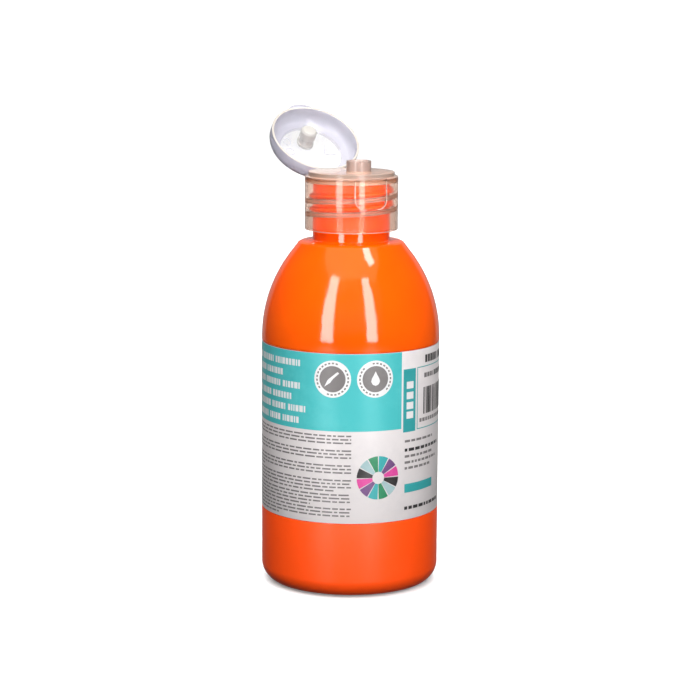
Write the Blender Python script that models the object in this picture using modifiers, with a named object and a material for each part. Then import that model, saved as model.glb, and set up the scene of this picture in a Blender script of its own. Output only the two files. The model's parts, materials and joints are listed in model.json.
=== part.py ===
"""Squeeze bottle of paint with a screw-on flip-top closure, its lid standing open.

Metres, +Z up. The origin is the centre of the base, on the bottle's axis, where it meets the
table. The closure's thumb recess and spout face -Y, and the lid's hinge is at +Y.
"""

import math

import bmesh
import bpy

# Bottle body
BODY_RADIUS = 0.02925
WALL = 0.0012
BASE_FILLET = 0.0053
FLOOR_Z = 0.0019  # top of the bottle's floor
PAD_RADIUS = 0.0131  # flat pad in the middle of the base, level with the foot ring
GROOVE = (0.0138, 0.0186, 0.0008)  # inner radius, outer radius and depth of the base groove
FOOT_RING_INNER = 0.0193

# Label and its panel
LABEL_Z = (0.0254, 0.0807)
LABEL_THICKNESS = 0.00015
LABEL_SEAM = 0.0016  # gap between the label's two ends, at the back
FIT_GAP = 0.0003  # clearance between pieces that rest on or in each other

# Shoulder: an arc that leaves the wall upright, then a straight run to a small flat ledge
SHOULDER_Z = 0.0819
SHOULDER_ARC = 0.0459
SHOULDER_SLOPE = 38.3  # degrees from upright where the arc ends
LEDGE = (0.0174, 0.1129)  # radius and height of the ledge's outer edge
LEDGE_RISE = 0.0007

# Neck finish, 28 mm with a single-start right-hand thread
NECK_RADIUS = 0.01258
NECK_BORE = 0.0109
NECK_FOOT_Z = 0.1139
NECK_TOP_Z = 0.1326
THREAD_PITCH = 0.004233
THREAD_CREST = 0.0138
NECK_THREAD_TOP = 0.1309  # height of the thread's middle at its upper end
NECK_THREAD_END = 20.0  # where that upper end is, in degrees from +X
NECK_THREAD_TURNS = 1.75

# Contents
PAINT_LEVEL = 0.1095

# Closure body
CAP_RADIUS = 0.01525
CAP_BORE = 0.01415
CAP_BOTTOM_Z = 0.1173
CAP_LEDGE_Z = 0.1348  # step that the lid's rim sits over
DECK_RADIUS = 0.0141
DECK_TOP_Z = 0.1362
DECK_UNDER_Z = 0.1344
CAP_THREAD_CREST = 0.0131
CAP_THREAD_DROP = 0.0016  # how far the closure's thread runs below the neck's
CAP_THREAD_TURNS = 1.75
SPOUT_OFFSET = 0.0052  # from the axis towards the front
SPOUT_RADIUS = 0.00405
SPOUT_BORE = 0.00335
SPOUT_TOP_Z = 0.1401
RECESS_HALF_WIDTH = 0.00565
RECESS_BOTTOM_Z = 0.1250
RECESS_CORNER = 0.0026  # height of the recess's rounded lower end
RECESS_DEPTH = 0.0005

# Sealing washer, a flat ring between the neck's rim and the underside of the deck
WASHER_RADIUS = 0.0124
WASHER_BORE = 0.0095

# Lid, measured shut: heights count up from its rim
HINGE_Y = 0.01544
HINGE_Z = 0.1353
LID_OPEN = 140.5  # degrees from shut
LID_SKIRT = 0.0027  # height of the upright part of the lid's wall
LID_CORNER = 0.0041
LID_TOP = 0.0084
LID_INNER_RADIUS = 0.01445
LID_INNER_CORNER = 0.0032
LID_FLOOR_RADIUS = 0.0107
LID_FLOOR = 0.0057
LID_FLOOR_MIDDLE = 0.0072
LIP_HALF_WIDTH = 0.0045
LIP_REACH = 0.0172  # from the lid's centre to the lip's tip
LIP_HEIGHT = 0.0018

# Living hinge, the thin web that joins lid and closure, rolled up on the hinge line
WEB_RADIUS = 0.00045
WEB_HALF_LENGTH = 0.0038
WEB_NOTCH = 0.0042  # half the width of the notches that the web lies in

TURN_STEPS = 48
SMALL_STEPS = 24
EMBED = 0.0004  # how deep a piece that is joined on sinks into its neighbour


def clear_scene():
    for leftover in list(bpy.data.objects):
        bpy.data.objects.remove(leftover)


def collection(name):
    made = bpy.data.collections.new(name)
    bpy.context.scene.collection.children.link(made)
    return made


def material(name, colour, roughness, metallic=0.0):
    made = bpy.data.materials.new(name)
    made.use_nodes = True
    shader = made.node_tree.nodes["Principled BSDF"]
    shader.inputs["Base Color"].default_value = (*colour, 1.0)
    shader.inputs["Roughness"].default_value = roughness
    shader.inputs["Metallic"].default_value = metallic
    return made


def place(name, mesh, home, parent=None, location=(0, 0, 0)):
    """A named object in a collection, smooth apart from its sharp edges."""
    mesh.shade_smooth()
    mesh.set_sharp_from_angle(angle=math.radians(35))
    obj = bpy.data.objects.new(name, mesh)
    obj.location = location
    obj.parent = parent
    home.objects.link(obj)
    return obj


def cutter(name, mesh, parent=None, location=(0, 0, 0)):
    obj = place(name, mesh, CUTTERS, parent, location)
    obj.hide_render = True
    obj.display_type = "WIRE"
    return obj


def combine(obj, other, operation):
    step = obj.modifiers.new(f"{operation.lower()} {other.name}", "BOOLEAN")
    step.operation = operation
    step.solver = "EXACT"
    step.object = other


def arc(centre, radius, start, end, count):
    """Points (radius from the axis, height) on an arc, angles in degrees up from +X."""
    points = []
    for i in range(count + 1):
        angle = math.radians(start + (end - start) * i / count)
        points.append((centre[0] + radius * math.cos(angle), centre[1] + radius * math.sin(angle)))
    return points


def dome(edge, top_z, count):
    """Points from the middle of a shallow dome out to its edge, the edge left out."""
    rise = top_z - edge[1]
    sphere = (edge[0] ** 2 + rise**2) / (2 * rise)
    reach = math.asin(edge[0] / sphere)
    points = []
    for i in range(count):
        angle = reach * i / count
        points.append((sphere * math.sin(angle), top_z - sphere * (1 - math.cos(angle))))
    return points


def profile_mesh(name, points, closed):
    mesh = bpy.data.meshes.new(name)
    edges = [(i, i + 1) for i in range(len(points) - 1)]
    if closed:
        edges.append((len(points) - 1, 0))
    mesh.from_pydata([(r, 0.0, z) for r, z in points], edges, [])
    return mesh


def turn(obj, steps=TURN_STEPS):
    screw = obj.modifiers.new("turned", "SCREW")
    screw.axis = "Z"
    screw.angle = 2 * math.pi
    screw.steps = steps
    screw.render_steps = steps
    screw.use_merge_vertices = True
    screw.merge_threshold = 0.00001


def turned(name, points, home, closed=False, parent=None, location=(0, 0, 0), steps=TURN_STEPS):
    """A turned piece. The profile runs down the outside, and back up the inside if it is hollow."""
    obj = place(name, profile_mesh(name, points, closed), home, parent, location)
    turn(obj, steps)
    return obj


def turned_cutter(name, points, closed=False, parent=None, location=(0, 0, 0), steps=SMALL_STEPS):
    obj = turned(name, points, CUTTERS, closed, parent, location, steps)
    obj.hide_render = True
    obj.display_type = "WIRE"
    return obj


def box_mesh(name, low, high):
    mesh = bpy.data.meshes.new(name)
    shape = bmesh.new()
    bmesh.ops.create_cube(shape, size=1.0)
    for vertex in shape.verts:
        for axis in range(3):
            middle = (low[axis] + high[axis]) / 2
            vertex.co[axis] = middle + vertex.co[axis] * (high[axis] - low[axis])
    shape.to_mesh(mesh)
    shape.free()
    return mesh


def prism_mesh(name, outline, direction):
    """A flat outline, given as points in space, extruded along a direction."""
    mesh = bpy.data.meshes.new(name)
    shape = bmesh.new()
    face = shape.faces.new([shape.verts.new(point) for point in outline])
    grown = bmesh.ops.extrude_face_region(shape, geom=[face])["geom"]
    moved = [item for item in grown if isinstance(item, bmesh.types.BMVert)]
    bmesh.ops.translate(shape, verts=moved, vec=direction)
    bmesh.ops.recalc_face_normals(shape, faces=shape.faces)
    shape.to_mesh(mesh)
    shape.free()
    return mesh


def thread_mesh(name, root, crest, half_widths, top_z, top_angle, turns):
    """A helical ridge with a trapezoid section that fades into its wall at both ends.

    The ridge runs down from its top end. half_widths are half its width at root and at crest.
    """
    runout = 30.0
    steps_per_turn = 32
    count = round(turns * steps_per_turn)
    shape = bmesh.new()
    rings = []
    for i in range(count + 1):
        swept = 360.0 * turns * i / count
        angle = math.radians(top_angle - swept)
        middle = top_z - THREAD_PITCH * swept / 360.0
        fade = min(1.0, 0.08 + swept / runout, 0.08 + (360.0 * turns - swept) / runout)
        tip = root + (crest - root) * fade
        section = [
            (root, -half_widths[0]),
            (tip, -half_widths[1]),
            (tip, half_widths[1]),
            (root, half_widths[0]),
        ]
        rings.append(
            [shape.verts.new((r * math.cos(angle), r * math.sin(angle), middle + z)) for r, z in section]
        )
    for upper, lower in zip(rings, rings[1:]):
        for k in range(4):
            following = (k + 1) % 4
            shape.faces.new((upper[k], upper[following], lower[following], lower[k]))
    shape.faces.new(rings[0])
    shape.faces.new(rings[-1][::-1])
    bmesh.ops.recalc_face_normals(shape, faces=shape.faces)
    bmesh.ops.triangulate(shape, faces=shape.faces)
    mesh = bpy.data.meshes.new(name)
    shape.to_mesh(mesh)
    shape.free()
    return mesh


def slope_end(inset):
    """The lower end of the ledge's bevel, moved in from the outer surface by a wall's thickness."""
    slope = math.radians(SHOULDER_SLOPE)
    return (LEDGE[0] - inset * math.cos(slope), LEDGE[1] - inset * math.sin(slope))


def shoulder(inset, start, end, count):
    centre = (BODY_RADIUS - SHOULDER_ARC, SHOULDER_Z)
    return arc(centre, SHOULDER_ARC - inset, start, end, count)


def bottle():
    """Blow-moulded bottle: outside from neck to base, with the inside traced back up."""
    panel_radius = BODY_RADIUS - LABEL_THICKNESS - FIT_GAP
    ledge_inner = NECK_RADIUS + 0.0005
    outside = [
        (NECK_RADIUS - 0.0003, NECK_TOP_Z),
        (NECK_RADIUS, NECK_TOP_Z - 0.0003),
        (NECK_RADIUS, NECK_FOOT_Z + 0.0004),
        (ledge_inner, NECK_FOOT_Z),
        (LEDGE[0] - 0.0011, LEDGE[1] + LEDGE_RISE),
        (LEDGE[0] - 0.0004, LEDGE[1] + 0.0004),
        LEDGE,
        *shoulder(0, SHOULDER_SLOPE, 0, 8),
        (BODY_RADIUS, LABEL_Z[1] + FIT_GAP),
        (panel_radius, LABEL_Z[1] + FIT_GAP),
        (panel_radius, LABEL_Z[0] - FIT_GAP),
        (BODY_RADIUS, LABEL_Z[0] - FIT_GAP),
        *arc((BODY_RADIUS - BASE_FILLET, BASE_FILLET), BASE_FILLET, 0, -90, 6),
        (FOOT_RING_INNER, 0),
        (GROOVE[1], GROOVE[2]),
        (GROOVE[0], GROOVE[2]),
        (PAD_RADIUS, 0),
        (0, 0),
    ]
    points = [*inside_of_bottle(0, NECK_TOP_Z - 0.0003), (NECK_BORE + 0.0003, NECK_TOP_Z), *outside]
    made = turned("bottle", points, PARTS)
    thread = cutter(
        "neck_thread",
        thread_mesh(
            "neck_thread",
            NECK_RADIUS - EMBED,
            THREAD_CREST,
            (0.0011, 0.00045),
            NECK_THREAD_TOP,
            NECK_THREAD_END,
            NECK_THREAD_TURNS,
        ),
    )
    combine(made, thread, "UNION")
    return made


def inside_of_bottle(gap, top_z):
    """Profile of the bottle's inside from the middle of its floor up to a height, moved in by a gap."""
    radius = BODY_RADIUS - WALL - gap
    corner = 0.004 - gap
    floor_z = FLOOR_Z + gap
    points = [(0, floor_z), *arc((radius - corner, floor_z + corner), corner, -90, 0, 5)]
    points += shoulder(WALL + gap, 0, SHOULDER_SLOPE, 8)
    points = [point for point in points if point[1] < top_z - 0.001]
    if top_z > NECK_FOOT_Z:
        points += [slope_end(WALL), (NECK_BORE + 0.0009, LEDGE[1] - 0.0004), (NECK_BORE, LEDGE[1] + 0.0005)]
        points.append((NECK_BORE, top_z))
    else:
        drop = (top_z - SHOULDER_Z) / (SHOULDER_ARC - WALL - gap)
        points.append(shoulder(WALL + gap, 0, math.degrees(math.asin(drop)), 1)[1])
    return points


def paint():
    """The contents, level a little below the ledge."""
    upward = inside_of_bottle(FIT_GAP, PAINT_LEVEL)
    return turned("paint", [(0, PAINT_LEVEL), *reversed(upward)], PARTS)


def label():
    """Wrap-around label in its panel, its ends almost meeting at the back."""
    inner = BODY_RADIUS - LABEL_THICKNESS
    low, high = LABEL_Z
    points = [(inner, high), (BODY_RADIUS, high), (BODY_RADIUS, low), (inner, low)]
    made = turned("label", points, PARTS, closed=True)
    half = LABEL_SEAM / 2
    seam = box_mesh("label_seam", (-half, BODY_RADIUS - 0.002, low - 0.001), (half, BODY_RADIUS + 0.001, high + 0.001))
    combine(made, cutter("label_seam", seam), "DIFFERENCE")
    return made


def washer(closure_axis):
    low, high = NECK_TOP_Z + FIT_GAP, DECK_UNDER_Z - FIT_GAP
    points = [(WASHER_BORE, high), (WASHER_RADIUS, high), (WASHER_RADIUS, low), (WASHER_BORE, low)]
    return turned("sealing_washer", points, PARTS, closed=True, parent=closure_axis)


def thumb_recess(closure_axis):
    """Cutter for the shallow U on the closure's front, which keeps the wall's curve."""
    corner_z = RECESS_BOTTOM_Z + RECESS_CORNER
    top_z = CAP_LEDGE_Z + 0.001
    front = -(CAP_RADIUS + 0.001)
    lower_end = []
    for i in range(13):
        angle = math.pi + math.pi * i / 12
        x = RECESS_HALF_WIDTH * math.cos(angle)
        lower_end.append((x, front, corner_z + RECESS_CORNER * math.sin(angle)))
    outline = [(-RECESS_HALF_WIDTH, front, top_z), *lower_end, (RECESS_HALF_WIDTH, front, top_z)]
    made = cutter("thumb_recess", prism_mesh("thumb_recess", outline, (0, 0.006, 0)), closure_axis)
    core_radius = CAP_RADIUS - RECESS_DEPTH
    core = [(0, top_z + 0.001), (core_radius, top_z + 0.001), (core_radius, 0.12), (0, 0.12)]
    combine(made, turned_cutter("recess_core", core, parent=closure_axis, steps=TURN_STEPS), "DIFFERENCE")
    return made


def closure_body(closure_axis):
    """Screw cap with a stepped deck, an eccentric spout and a thumb recess."""
    edge = 0.0003
    points = [
        (0, DECK_TOP_Z),
        (DECK_RADIUS - edge, DECK_TOP_Z),
        (DECK_RADIUS, DECK_TOP_Z - edge),
        (DECK_RADIUS, CAP_LEDGE_Z),
        (CAP_RADIUS - edge, CAP_LEDGE_Z),
        (CAP_RADIUS, CAP_LEDGE_Z - edge),
        (CAP_RADIUS, CAP_BOTTOM_Z + edge),
        (CAP_RADIUS - edge, CAP_BOTTOM_Z),
        (CAP_BORE + edge, CAP_BOTTOM_Z),
        (CAP_BORE, CAP_BOTTOM_Z + edge),
        (CAP_BORE, DECK_UNDER_Z - 0.0016),
        (CAP_BORE - 0.0012, DECK_UNDER_Z),
        (0, DECK_UNDER_Z),
    ]
    made = turned("closure_body", points, PARTS, parent=closure_axis)
    thread = thread_mesh(
        "closure_thread",
        CAP_BORE + EMBED,
        CAP_THREAD_CREST,
        (0.0009, 0.0004),
        NECK_THREAD_TOP - CAP_THREAD_DROP,
        NECK_THREAD_END,
        CAP_THREAD_TURNS,
    )
    combine(made, cutter("closure_thread", thread, closure_axis), "UNION")
    centre = (0, -SPOUT_OFFSET, 0)
    spout = [
        (0, SPOUT_TOP_Z),
        (SPOUT_RADIUS - edge, SPOUT_TOP_Z),
        (SPOUT_RADIUS, SPOUT_TOP_Z - edge),
        (SPOUT_RADIUS, DECK_TOP_Z - EMBED),
        (0, DECK_TOP_Z - EMBED),
    ]
    combine(made, turned_cutter("spout", spout, parent=closure_axis, location=centre), "UNION")
    ends = SPOUT_TOP_Z + 0.001, DECK_UNDER_Z - 0.001
    bore = [(0, ends[0]), (SPOUT_BORE, ends[0]), (SPOUT_BORE, ends[1]), (0, ends[1])]
    combine(made, turned_cutter("spout_bore", bore, parent=closure_axis, location=centre), "DIFFERENCE")
    combine(made, thumb_recess(closure_axis), "DIFFERENCE")
    low = (-WEB_NOTCH, HINGE_Y - WEB_RADIUS - FIT_GAP, HINGE_Z - WEB_RADIUS - FIT_GAP)
    notch = box_mesh("closure_notch", low, (WEB_NOTCH, HINGE_Y + 0.001, HINGE_Z + 0.001))
    combine(made, cutter("closure_notch", notch, closure_axis), "DIFFERENCE")
    return made


def lid(hinge):
    """Domed lid with a sealing plug and a thumb lip. Its own origin is the middle of its rim."""
    centre = (0, -HINGE_Y, 0)
    corner_centre = (CAP_RADIUS - LID_CORNER, LID_SKIRT)
    corner = arc(corner_centre, LID_CORNER, 67, 0, 6)
    inner_corner = arc(
        (LID_INNER_RADIUS - LID_INNER_CORNER, LID_SKIRT - 0.0004), LID_INNER_CORNER, 0, 62, 5
    )
    rim_round = 0.0002
    floor_edge = (LID_FLOOR_RADIUS, LID_FLOOR)
    points = [
        *dome(corner[0], LID_TOP, 4),
        *corner,
        (CAP_RADIUS, rim_round),
        (CAP_RADIUS - rim_round, 0),
        (LID_INNER_RADIUS, 0),
        *inner_corner,
        floor_edge,
        *reversed(dome(floor_edge, LID_FLOOR_MIDDLE, 3)),
    ]
    made = turned("lid", points, PARTS, parent=hinge, location=centre)

    outline = []
    for i in range(17):
        angle = math.pi + math.pi * i / 16
        reach = LIP_REACH - CAP_RADIUS + 0.0007
        y = -(CAP_RADIUS - 0.0007) + reach * math.sin(angle)
        outline.append((LIP_HALF_WIDTH * math.cos(angle), y, 0.0001))
    lip = prism_mesh("thumb_lip", outline, (0, 0, LIP_HEIGHT))
    combine(made, cutter("thumb_lip", lip, hinge, centre), "UNION")

    plug = [
        (0, 0.0076),
        (0.00255, 0.0076),
        (0.00255, 0.0050),
        (0.0028, 0.0047),
        (0.00275, 0.0019),
        (0.0022, 0.0013),
        (0, 0.0013),
    ]
    plug_centre = (0, -HINGE_Y - SPOUT_OFFSET, 0)
    combine(made, turned_cutter("plug", plug, parent=hinge, location=plug_centre), "UNION")

    room = WEB_RADIUS + FIT_GAP
    notch = box_mesh("lid_notch", (-WEB_NOTCH, -room, -0.001), (WEB_NOTCH, 0.001, room))
    combine(made, cutter("lid_notch", notch, hinge), "DIFFERENCE")
    return made


def living_hinge(closure_axis):
    """The web between closure and lid, as the roll that it folds into on the hinge line."""
    mesh = bpy.data.meshes.new("living_hinge")
    shape = bmesh.new()
    bmesh.ops.create_cone(
        shape,
        cap_ends=True,
        segments=16,
        radius1=WEB_RADIUS,
        radius2=WEB_RADIUS,
        depth=2 * WEB_HALF_LENGTH,
    )
    shape.to_mesh(mesh)
    shape.free()
    made = place("living_hinge", mesh, PARTS, closure_axis, (0, HINGE_Y, HINGE_Z))
    made.rotation_euler.y = math.pi / 2
    return made


def empty(name, location=(0, 0, 0), parent=None):
    made = bpy.data.objects.new(name, None)
    made.location = location
    made.parent = parent
    PARTS.objects.link(made)
    return made


clear_scene()
PARTS = collection("paint bottle")
CUTTERS = collection("cutters")

closure_axis = empty("closure_axis")
lid_hinge = empty("lid_hinge", (0, HINGE_Y, HINGE_Z), closure_axis)
lid_hinge.rotation_euler.x = -math.radians(LID_OPEN)

ORANGE = (1.0, 0.13, 0.003)
MILKY = (0.80, 0.78, 0.74)
FINISHES = (
    (bottle(), material("orange bottle", ORANGE, 0.25)),
    (paint(), material("wet paint", ORANGE, 0.15)),
    (label(), material("printed label", (0.85, 0.82, 0.81), 0.45)),
    (washer(closure_axis), material("white foam", (0.9, 0.9, 0.88), 0.7)),
    (closure_body(closure_axis), material("natural polypropylene closure", MILKY, 0.3)),
    (lid(lid_hinge), material("natural polypropylene lid", MILKY, 0.3)),
    (living_hinge(closure_axis), material("natural polypropylene hinge", MILKY, 0.3)),
)
for piece, finish in FINISHES:
    piece.data.materials.append(finish)
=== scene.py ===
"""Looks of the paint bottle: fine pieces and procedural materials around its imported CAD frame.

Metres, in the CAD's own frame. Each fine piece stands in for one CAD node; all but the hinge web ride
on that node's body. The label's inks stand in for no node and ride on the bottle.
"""

import json
import math
import random

import bmesh
import bpy
from mathutils import Matrix, Vector


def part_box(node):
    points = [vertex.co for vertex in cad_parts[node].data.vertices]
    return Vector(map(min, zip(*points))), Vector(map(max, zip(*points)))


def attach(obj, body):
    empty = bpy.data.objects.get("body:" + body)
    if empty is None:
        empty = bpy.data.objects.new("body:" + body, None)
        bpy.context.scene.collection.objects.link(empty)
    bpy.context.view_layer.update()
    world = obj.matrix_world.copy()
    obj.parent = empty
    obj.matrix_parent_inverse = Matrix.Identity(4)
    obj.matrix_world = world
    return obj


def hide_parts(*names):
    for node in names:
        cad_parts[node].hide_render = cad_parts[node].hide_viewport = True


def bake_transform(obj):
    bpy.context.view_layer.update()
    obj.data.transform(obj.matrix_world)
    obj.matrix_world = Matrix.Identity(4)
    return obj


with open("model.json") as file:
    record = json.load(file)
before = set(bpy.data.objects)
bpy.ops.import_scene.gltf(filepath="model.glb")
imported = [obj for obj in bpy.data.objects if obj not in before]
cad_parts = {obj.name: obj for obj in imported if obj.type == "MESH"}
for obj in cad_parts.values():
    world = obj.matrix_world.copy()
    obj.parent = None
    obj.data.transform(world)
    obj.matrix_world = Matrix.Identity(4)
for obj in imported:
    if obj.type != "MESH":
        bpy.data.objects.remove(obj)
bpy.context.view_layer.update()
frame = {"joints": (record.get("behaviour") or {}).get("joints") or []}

BOTTLE_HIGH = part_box("bottle")[1]
LABEL_LOW, LABEL_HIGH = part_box("label")
CLOSURE_LOW, CLOSURE_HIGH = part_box("closure_body")
WASHER_LOW, WASHER_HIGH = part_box("sealing_washer")
PAINT_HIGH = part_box("paint")[1]
JOINTS = {joint["name"]: joint for joint in frame["joints"]}

MM = 0.001
SEGMENTS = 160

# Bottle
BODY_RADIUS = BOTTLE_HIGH.x
NECK_TOP = BOTTLE_HIGH.z
WALL = 1.2 * MM
PANEL_DEPTH = 0.45 * MM
FIT_GAP = 0.3 * MM
HEEL = 6.2 * MM
SHOULDER_Z = 81.9 * MM
SHOULDER_ARC = 45.9 * MM
SHOULDER_SLOPE = 38.3
LEDGE = (17.4 * MM, 112.9 * MM)
NECK_RADIUS = 12.58 * MM
NECK_BORE = 10.9 * MM
NECK_FOOT = 113.9 * MM
PITCH = 4.233 * MM
THREAD_CREST = 13.8 * MM
THREAD_TOP = 130.9 * MM
THREAD_END = 20.0
THREAD_TURNS = 1.75

# Closure and lid
CAP_RADIUS = CLOSURE_HIGH.x
CAP_BOTTOM = CLOSURE_LOW.z
SPOUT_TOP = CLOSURE_HIGH.z
CAP_BORE = 14.15 * MM
CAP_LEDGE = 134.8 * MM
DECK_RADIUS = 14.1 * MM
DECK_TOP = 136.2 * MM
DECK_UNDER = 134.4 * MM
CAP_THREAD_CREST = 13.1 * MM
CAP_THREAD_DROP = 1.6 * MM
SPOUT_OFFSET = 5.2 * MM
SPOUT_RADIUS = 4.05 * MM
SPOUT_BORE = 3.35 * MM
RECESS_HALF_WIDTH = 5.65 * MM
RECESS_BOTTOM = 125.0 * MM
RECESS_CORNER = 3.3 * MM
RECESS_DEPTH = 0.5 * MM
HINGE = Vector(JOINTS["lid_hinge"]["pos_m"])
LID_OPEN = math.radians(140.5)
LIP_HALF_WIDTH = 4.5 * MM
LIP_REACH = 17.0 * MM
LIP_BASE = 0.6 * MM
LIP_HEIGHT = 1.6 * MM
MARK_SIZE = 0.18 * MM
WEB_HALF_LENGTH = 3.8 * MM
WEB_NOTCH = 4.2 * MM
WEB_ROOM = 0.75 * MM

# Label artwork: degrees round the bottle from the middle of its instructions side, heights in metres
ART_MIDDLE = -116.2
PARTING = ART_MIDDLE + 90
LABEL_SEAM_HALF = 1.57
BAND_LOW = 55.6 * MM
BAND_RIGHT = 34.2
INK = 0.03 * MM  # each layer of ink stands this far above the one below

# Where the lid stands: shut, its rim is level and its middle is on the bottle's axis
LID_PLACE = (
    Matrix.Translation(HINGE) @ Matrix.Rotation(-LID_OPEN, 4, "X") @ Matrix.Translation((0, -HINGE.y, 0))
)


# ---------------------------------------------------------------- meshes


def piece(name, shape, angle=35):
    """A mesh object from a bmesh, smooth apart from its sharp edges."""
    mesh = bpy.data.meshes.new(name)
    bmesh.ops.recalc_face_normals(shape, faces=shape.faces)
    shape.to_mesh(mesh)
    shape.free()
    obj = bpy.data.objects.new(name, mesh)
    bpy.context.scene.collection.objects.link(obj)
    soften(obj, angle)
    return obj


def soften(obj, angle=35):
    obj.data.shade_smooth()
    obj.data.set_sharp_from_angle(angle=math.radians(angle))


def apply(obj):
    """Turns the piece with its modifiers into a plain mesh."""
    bpy.context.view_layer.update()
    graph = bpy.context.evaluated_depsgraph_get()
    mesh = bpy.data.meshes.new_from_object(obj.evaluated_get(graph))
    obj.modifiers.clear()
    obj.data = mesh


def combine(obj, other, operation):
    step = obj.modifiers.new(operation, "BOOLEAN")
    step.operation = operation
    step.solver = "EXACT"
    step.object = other
    apply(obj)
    bpy.data.objects.remove(other)


def bevel(obj, width, segments=2, angle=40):
    step = obj.modifiers.new("bevel", "BEVEL")
    step.width = width
    step.segments = segments
    step.limit_method = "ANGLE"
    step.angle_limit = math.radians(angle)
    apply(obj)
    soften(obj, 50)


def arc(centre, radius, start, end, count):
    """Profile points on an arc, angles in degrees up from +X, with no rounding of their own."""
    points = []
    for i in range(count + 1):
        angle = math.radians(start + (end - start) * i / count)
        points.append((centre[0] + radius * math.cos(angle), centre[1] + radius * math.sin(angle), 0))
    return points


def rounded(corners, steps=4):
    """A closed profile whose corners (radius, height, rounding) are rounded off."""
    made = []
    for i, (r, z, rounding) in enumerate(corners):
        here = Vector((r, z))
        if rounding == 0:
            made.append(here)
            continue
        back = Vector(corners[i - 1][:2]) - here
        ahead = Vector(corners[(i + 1) % len(corners)][:2]) - here
        reach = rounding / math.tan(back.angle(ahead) / 2)
        reach = min(reach, 0.45 * back.length, 0.45 * ahead.length)
        start, end = here + back.normalized() * reach, here + ahead.normalized() * reach
        for k in range(steps + 1):
            t = k / steps
            made.append(start * (1 - t) ** 2 + here * 2 * t * (1 - t) + end * t * t)
    return made


def turned(profile, segments=SEGMENTS, place=None, seam=0.0, seam_span=()):
    """A bmesh turned about +Z. A closed profile gives a solid; points on the axis close it in the middle.

    seam is the height of a mould parting line on both sides, over profile heights in seam_span.
    """
    angles = [360 * i / segments for i in range(segments)]
    if seam:
        fine = [PARTING + side + offset for side in (0, 180) for offset in (-0.55, -0.25, 0.25, 0.55)]
        angles = sorted(set(angles) | {a % 360 for a in fine})
    shape = bmesh.new()
    rings = []
    for point in profile:
        if point[0] < 1e-7:
            rings.append([shape.verts.new((0, 0, point[1]))])
            continue
        ring = []
        for angle in angles:
            r = point[0]
            off = min((angle - PARTING) % 180, (PARTING - angle) % 180)
            if seam and off < 0.3 and seam_span[0] < point[1] < seam_span[1] and r > NECK_BORE + 1.5 * MM:
                r += seam
            turn = math.radians(angle)
            ring.append(shape.verts.new((r * math.cos(turn), r * math.sin(turn), point[1])))
        rings.append(ring)
    count = len(angles)
    for i, ring in enumerate(rings):
        following = rings[(i + 1) % len(rings)]
        if len(ring) == 1 and len(following) == 1:
            continue
        for k in range(count):
            n = (k + 1) % count
            if len(ring) == 1:
                shape.faces.new((ring[0], following[k], following[n]))
            elif len(following) == 1:
                shape.faces.new((ring[k], following[0], ring[n]))
            else:
                shape.faces.new((ring[k], following[k], following[n], ring[n]))
    if place is not None:
        bmesh.ops.transform(shape, matrix=place, verts=shape.verts)
    return shape


def thread(root, crest, half_widths, top_z, turns):
    """A right-hand helical ridge with a rounded crest that fades into its wall at both ends."""
    steps_per_turn, runout = 72, 34.0
    count = round(turns * steps_per_turn)
    shape = bmesh.new()
    rings = []
    for i in range(count + 1):
        swept = 360.0 * turns * i / count
        angle = math.radians(THREAD_END - swept)
        middle = top_z - PITCH * swept / 360.0
        fade = min(1.0, 0.08 + swept / runout, 0.08 + (360.0 * turns - swept) / runout)
        tip = root + (crest - root) * fade
        near = root + (tip - root) * 0.82
        wide, flat = half_widths
        section = [(root, -wide), (near, -flat - 0.1 * (wide - flat)), (tip, -flat * 0.6)]
        section += [(tip, flat * 0.6), (near, flat + 0.1 * (wide - flat)), (root, wide)]
        points = [(r * math.cos(angle), r * math.sin(angle), middle + z) for r, z in section]
        rings.append([shape.verts.new(point) for point in points])
    for upper, lower in zip(rings, rings[1:]):
        for k in range(len(upper)):
            n = (k + 1) % len(upper)
            shape.faces.new((upper[k], upper[n], lower[n], lower[k]))
    shape.faces.new(rings[0])
    shape.faces.new(rings[-1][::-1])
    bmesh.ops.triangulate(shape, faces=shape.faces)
    return shape


def prism(outline, direction, place=None):
    shape = bmesh.new()
    face = shape.faces.new([shape.verts.new(point) for point in outline])
    grown = bmesh.ops.extrude_face_region(shape, geom=[face])["geom"]
    bmesh.ops.translate(shape, verts=[v for v in grown if isinstance(v, bmesh.types.BMVert)], vec=direction)
    if place is not None:
        bmesh.ops.transform(shape, matrix=place, verts=shape.verts)
    return shape


def block(low, high, place=None):
    corners = ((low[0], low[1]), (high[0], low[1]), (high[0], high[1]), (low[0], high[1]))
    outline = [(x, y, low[2]) for x, y in corners]
    return prism(outline, (0, 0, high[2] - low[2]), place)


def tube(shape, line, radius, closed=True, sides=8, outward=None):
    """Adds a round tube along points to a bmesh, for small moulded marks and beads.

    outward gives the way out of the surface at a point, which is +Z unless it is given.
    """
    rings = []
    for i, point in enumerate(line):
        before = line[i - 1] if closed or i else point
        after = line[(i + 1) % len(line)] if closed or i + 1 < len(line) else point
        along = (Vector(after) - Vector(before)).normalized()
        side = along.cross(outward(point) if outward else Vector((0, 0, 1))).normalized()
        up = side.cross(along)
        ring = []
        for k in range(sides):
            a = 2 * math.pi * k / sides
            ring.append(shape.verts.new(Vector(point) + radius * (side * math.cos(a) + up * math.sin(a))))
        rings.append(ring)
    if not closed:
        shape.faces.new(rings[0])
        shape.faces.new(rings[-1][::-1])
    for i in range(len(rings) if closed else len(rings) - 1):
        ring, following = rings[i], rings[(i + 1) % len(rings)]
        for k in range(sides):
            n = (k + 1) % sides
            shape.faces.new((ring[k], ring[n], following[n], following[k]))


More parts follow.
